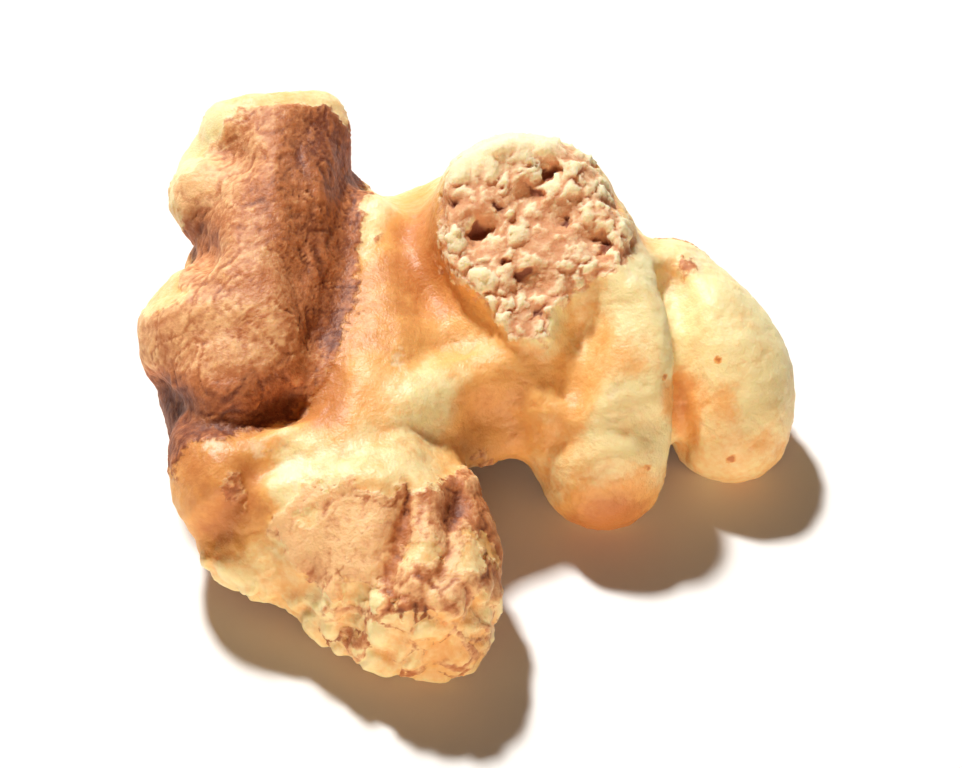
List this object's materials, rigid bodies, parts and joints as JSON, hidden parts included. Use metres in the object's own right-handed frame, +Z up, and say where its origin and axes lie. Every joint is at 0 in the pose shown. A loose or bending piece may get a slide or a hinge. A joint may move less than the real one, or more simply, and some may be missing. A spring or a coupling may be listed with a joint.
{
  "type": "walnut kernel piece",
  "caption": "Broken piece of walnut kernel: a folded brown-skinned wall, a bare cream saddle, a rough broken stump and rounded finger lobes. Lies on its lobes as food, prop or scatter.",
  "frame": {"origin": "middle of the bounding box's bottom, in the plane that the piece rests on", "axes": "+X across the piece from the brown wall to the finger lobes, +Y from the front lobe to the back, +Z up from the surface that it lies on"},
  "size_m": [0.0316, 0.0298, 0.013],
  "materials": {
    "kernel": "satin, slightly oily"
  },
  "bodies": {
    "root": {"walnut_piece": "kernel"}
  },
  "joints": []
}
